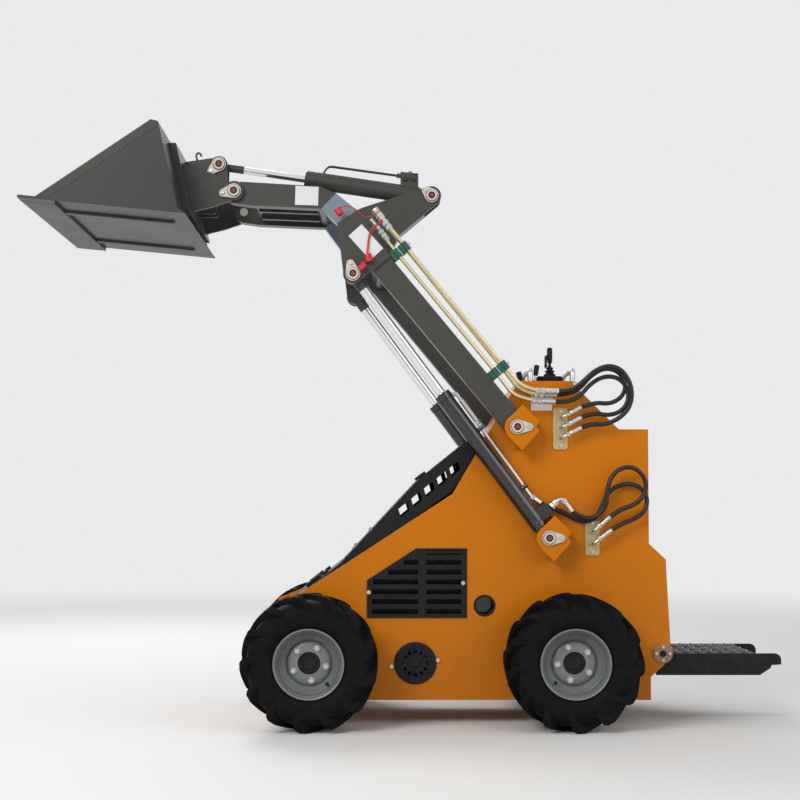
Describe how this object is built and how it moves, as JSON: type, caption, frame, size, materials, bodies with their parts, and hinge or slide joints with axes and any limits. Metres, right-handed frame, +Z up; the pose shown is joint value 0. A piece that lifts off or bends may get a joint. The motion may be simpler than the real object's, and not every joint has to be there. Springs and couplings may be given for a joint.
{
  "type": "skid steer loader",
  "caption": "Stand-on skid steer loader with raised boom and bucket, orange body, rubber tyres and a fold-up rear platform",
  "frame": {"origin": "on the ground under the middle of the whole machine", "axes": "+X to the rear, bucket towards -X; Y across, left side towards -Y; +Z up"},
  "size_m": [2.598, 1.04, 2.032],
  "materials": {
    "body_paint": "semi-gloss orange-yellow paint",
    "boom_paint": "semi-gloss dark warm grey paint",
    "black_paint": "gloss black paint",
    "rim_paint": "silver-grey paint",
    "zinc": "yellow zinc plating",
    "steel": "bare or zinc-plated steel",
    "copper_plate": "brown plated steel",
    "chrome_rod": "hard chrome",
    "tyre_rubber": "matt rubber",
    "black_plastic": "matt black plastic",
    "hose_rubber": "black rubber",
    "flag_paint": "cream paint",
    "flare_paint": "semi-gloss blue-grey paint",
    "red_plastic": "red plastic caps",
    "green_plastic": "green plastic clamps",
    "worn_steel": "wear steel"
  },
  "bodies": {
    "chassis": {"hub_motors": "black_paint", "floor_pan": "body_paint", "console": "body_paint", "engine": "black_paint", "controls": "black_plastic", "hose_plates": "zinc", "hose_upper_outer": "hose_rubber", "hose_upper_middle": "hose_rubber", "hose_upper_inner": "hose_rubber", "hose_lower_outer_left": "hose_rubber", "hose_lower_outer_right": "hose_rubber", "hose_lower_inner_left": "hose_rubber", "hose_lower_inner_right": "hose_rubber", "side_plate_left": "body_paint", "vents_left": "black_plastic", "pin_brackets_left": "body_paint", "chassis_pins_left": "steel", "platform_flange_left": "copper_plate", "side_plate_right": "body_paint", "vents_right": "black_plastic", "pin_brackets_right": "body_paint", "chassis_pins_right": "steel", "platform_flange_right": "copper_plate"},
    "hood_cover": {"hood": "black_paint"},
    "boom": {"cross_members": "boom_paint", "arm_tubes": "boom_paint", "tube_fittings": "zinc", "lift_arm_left": "boom_paint", "gooseneck_left": "boom_paint", "flare_left": "boom_paint", "front_limb_left": "boom_paint", "boom_pins_left": "steel", "lift_arm_right": "boom_paint", "gooseneck_right": "boom_paint", "flare_right": "boom_paint", "front_limb_right": "boom_paint", "boom_pins_right": "steel"},
    "bucket_unit": {"attachment": "boom_paint", "bucket": "boom_paint", "cutting_edge": "worn_steel", "tilt_rod_pins": "steel"},
    "tilt_cylinder_barrel": {"tilt_barrel": "boom_paint"},
    "tilt_cylinder_rod": {"tilt_rod": "chrome_rod"},
    "step": {"platform": "black_paint"},
    "lift_cylinder_barrel_left": {"lift_barrel_left": "black_paint"},
    "lift_cylinder_rod_left": {"lift_rod_left": "chrome_rod"},
    "lift_cylinder_barrel_right": {"lift_barrel_right": "black_paint"},
    "lift_cylinder_rod_right": {"lift_rod_right": "chrome_rod"},
    "wheel_front_left": {"tyre_front_left": "tyre_rubber", "rim_front_left": "rim_paint"},
    "wheel_front_right": {"tyre_front_right": "tyre_rubber", "rim_front_right": "rim_paint"},
    "wheel_rear_left": {"tyre_rear_left": "tyre_rubber", "rim_rear_left": "rim_paint"},
    "wheel_rear_right": {"tyre_rear_right": "tyre_rubber", "rim_rear_right": "rim_paint"}
  },
  "joints": [
    {"name": "wheel_front_left_spin", "type": "hinge", "parent": "chassis", "child": "wheel_front_left", "pos_m": [-0.337, -0.412, 0.23], "axis": [0, 1, 0], "continuous": true},
    {"name": "wheel_front_right_spin", "type": "hinge", "parent": "chassis", "child": "wheel_front_right", "pos_m": [-0.337, 0.412, 0.23], "axis": [0, 1, 0], "continuous": true},
    {"name": "wheel_rear_left_spin", "type": "hinge", "parent": "chassis", "child": "wheel_rear_left", "pos_m": [0.549, -0.412, 0.23], "axis": [0, 1, 0], "continuous": true},
    {"name": "wheel_rear_right_spin", "type": "hinge", "parent": "chassis", "child": "wheel_rear_right", "pos_m": [0.549, 0.412, 0.23], "axis": [0, 1, 0], "continuous": true},
    {"name": "boom_lift", "type": "hinge", "parent": "chassis", "child": "boom", "pos_m": [0.368, 0, 1.024], "axis": [0, 1, 0], "range_deg": [-84.3, 0]},
    {"name": "bucket_tilt", "type": "hinge", "parent": "boom", "child": "bucket_unit", "pos_m": [-0.6055, 0, 1.8445], "axis": [0, -1, 0], "range_deg": [-90, 30]},
    {"name": "platform_fold", "type": "hinge", "parent": "chassis", "child": "step", "pos_m": [0.877, 0, 0.245], "axis": [0, -1, 0], "range_deg": [0, 90]},
    {"name": "hood_open", "type": "hinge", "parent": "chassis", "child": "hood_cover", "pos_m": [0.24, 0, 0.918], "axis": [0, 1, 0], "range_deg": [0, 50]},
    {"name": "lift_swing_left", "type": "hinge", "parent": "chassis", "child": "lift_cylinder_barrel_left", "pos_m": [0.477, -0.3, 0.645], "axis": [0, 1, 0], "range_deg": [-64.5, 1]},
    {"name": "lift_slide_left", "type": "slide", "parent": "lift_cylinder_barrel_left", "child": "lift_cylinder_rod_left", "axis": [-0.5961, 0, 0.8029], "range_m": [-0.428, 0.002]},
    {"name": "lift_swing_right", "type": "hinge", "parent": "chassis", "child": "lift_cylinder_barrel_right", "pos_m": [0.477, 0.3, 0.645], "axis": [0, 1, 0], "range_deg": [-64.5, 1]},
    {"name": "lift_slide_right", "type": "slide", "parent": "lift_cylinder_barrel_right", "child": "lift_cylinder_rod_right", "axis": [-0.5961, 0, 0.8029], "range_m": [-0.428, 0.002]},
    {"name": "tilt_swing", "type": "hinge", "parent": "boom", "child": "tilt_cylinder_barrel", "pos_m": [0.085, 0, 1.865], "axis": [0, -1, 0], "range_deg": [-6, 6]},
    {"name": "tilt_slide", "type": "slide", "parent": "tilt_cylinder_barrel", "child": "tilt_cylinder_rod", "axis": [-0.9894, 0, 0.1455], "range_m": [-0.2, 0.07]}
  ],
  "couplings": [
    {"joint": "lift_swing_left", "follows": "boom_lift", "ratio": 0.7577},
    {"joint": "lift_slide_left", "follows": "boom_lift", "m_per_rad": 0.2896},
    {"joint": "lift_swing_right", "follows": "boom_lift", "ratio": 0.7577},
    {"joint": "lift_slide_right", "follows": "boom_lift", "m_per_rad": 0.2896},
    {"joint": "tilt_swing", "follows": "bucket_tilt", "ratio": 0.016},
    {"joint": "tilt_slide", "follows": "bucket_tilt", "m_per_rad": 0.126}
  ]
}
